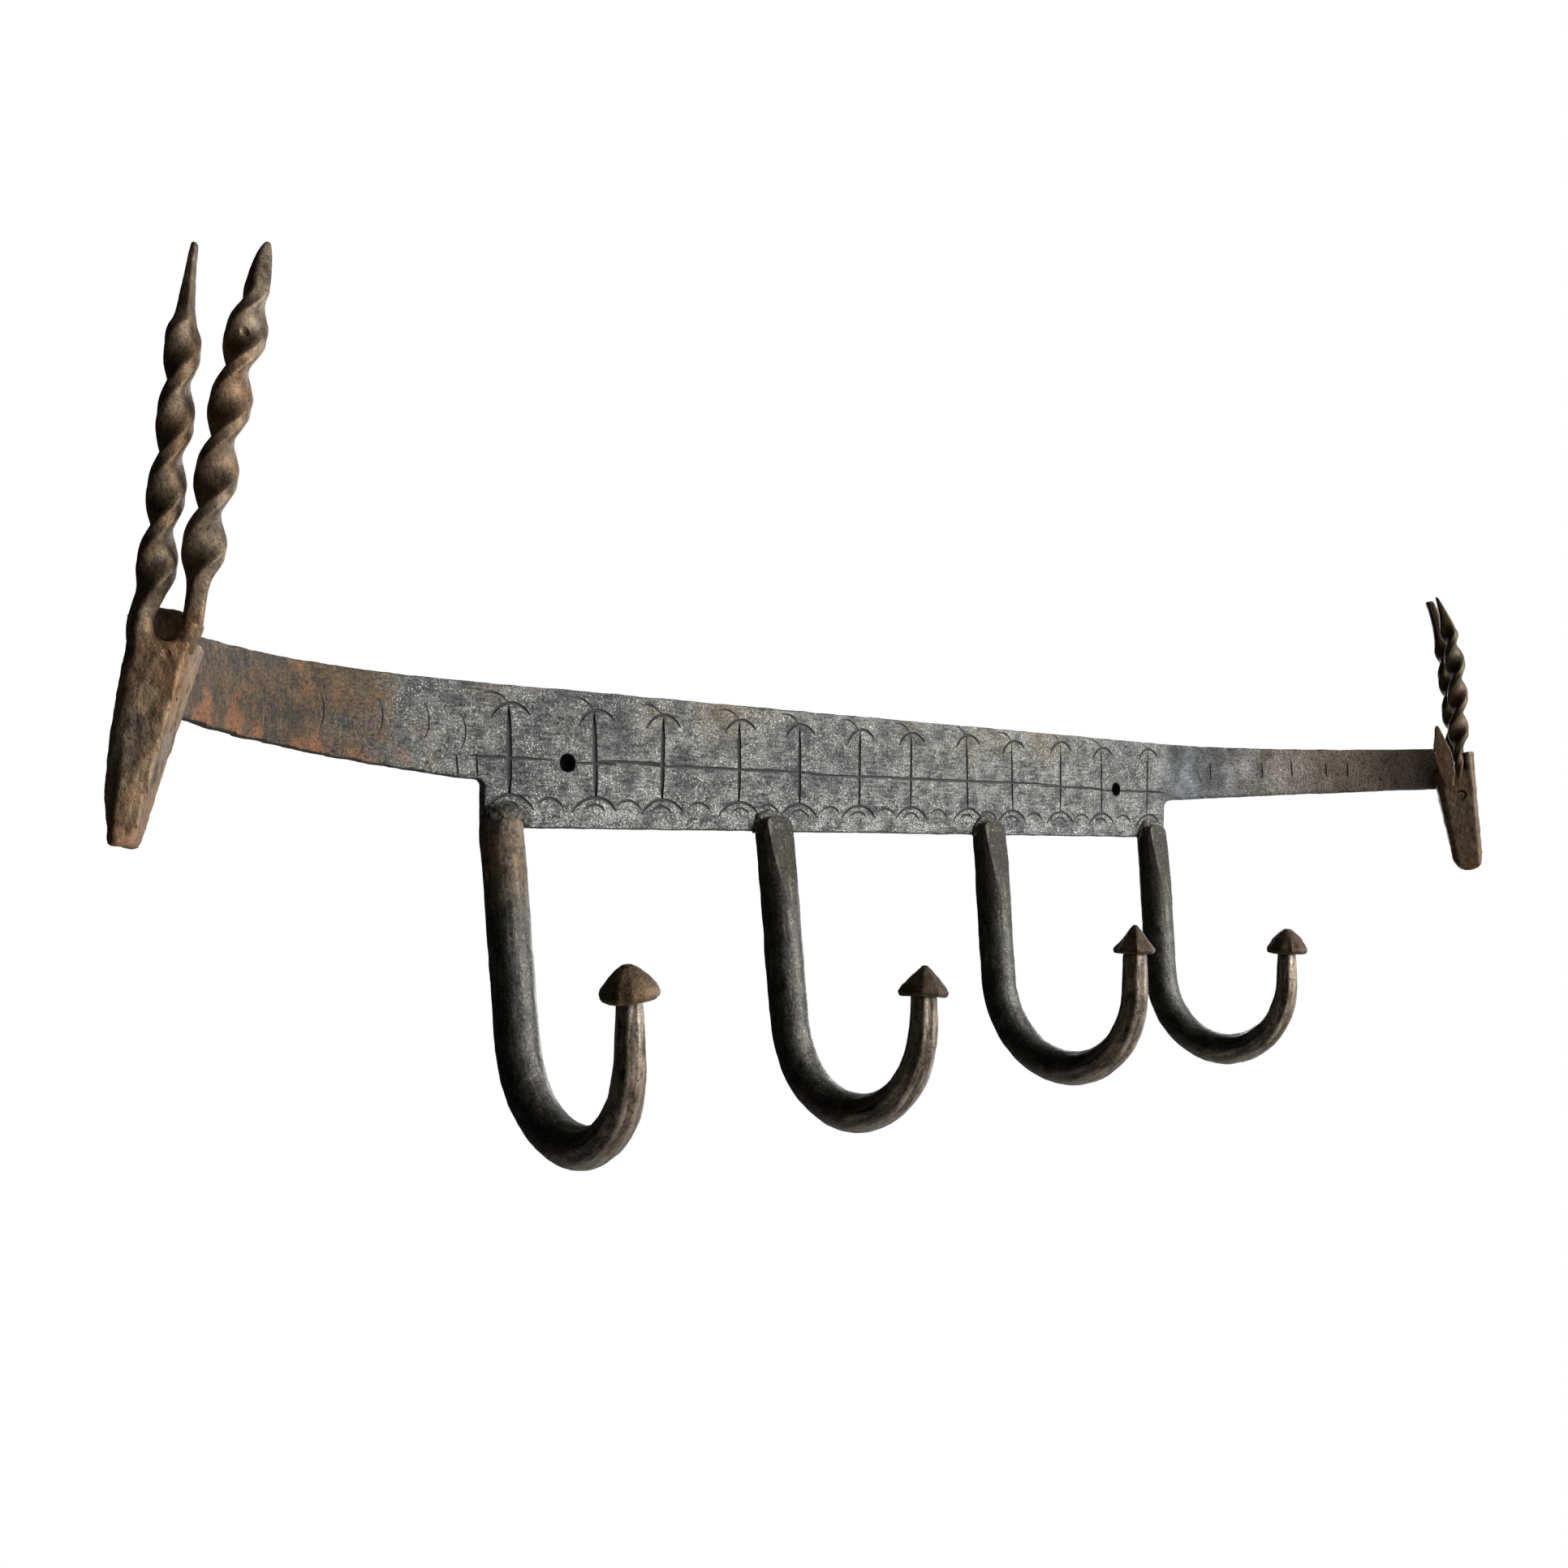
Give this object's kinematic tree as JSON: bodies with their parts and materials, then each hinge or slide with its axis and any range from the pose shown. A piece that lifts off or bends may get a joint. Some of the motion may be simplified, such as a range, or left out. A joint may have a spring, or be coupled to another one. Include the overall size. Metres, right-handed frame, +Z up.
{
  "type": "wall hook rack",
  "caption": "Forged iron wall rack: a chisel-marked flat bar with ends bent forward to horned animal heads, and round-bar hooks with faceted caps welded along its lower edge.",
  "frame": {"origin": "on the wall plane at the back of the bar, midway between the two screw holes", "axes": "+X along the rack, +Y into the wall, +Z up; the front faces -Y"},
  "size_m": [0.7173, 0.1079, 0.2632],
  "materials": {
    "bar_iron": "dark grey forged iron, worn and lightly rusted, with punched and chiselled marks",
    "hook_iron": "near-black forged round bar with a dull sheen",
    "brown_iron": "brown rusted iron, worn to tan on the edges",
    "weld_iron": "rough dark weld metal"
  },
  "bodies": {
    "root": {"back_bar": "bar_iron", "hook_1": "hook_iron", "hook_2": "hook_iron", "hook_3": "hook_iron", "hook_4": "hook_iron", "hook_cap_1": "brown_iron", "hook_cap_2": "brown_iron", "hook_cap_3": "brown_iron", "hook_cap_4": "brown_iron", "hook_weld_1": "weld_iron", "hook_weld_2": "weld_iron", "hook_weld_3": "weld_iron", "hook_weld_4": "weld_iron", "head_left": "brown_iron", "head_right": "brown_iron", "horn_left_inner": "brown_iron", "horn_left_outer": "brown_iron", "horn_right_inner": "brown_iron", "horn_right_outer": "brown_iron", "ear_right": "brown_iron"}
  },
  "joints": []
}
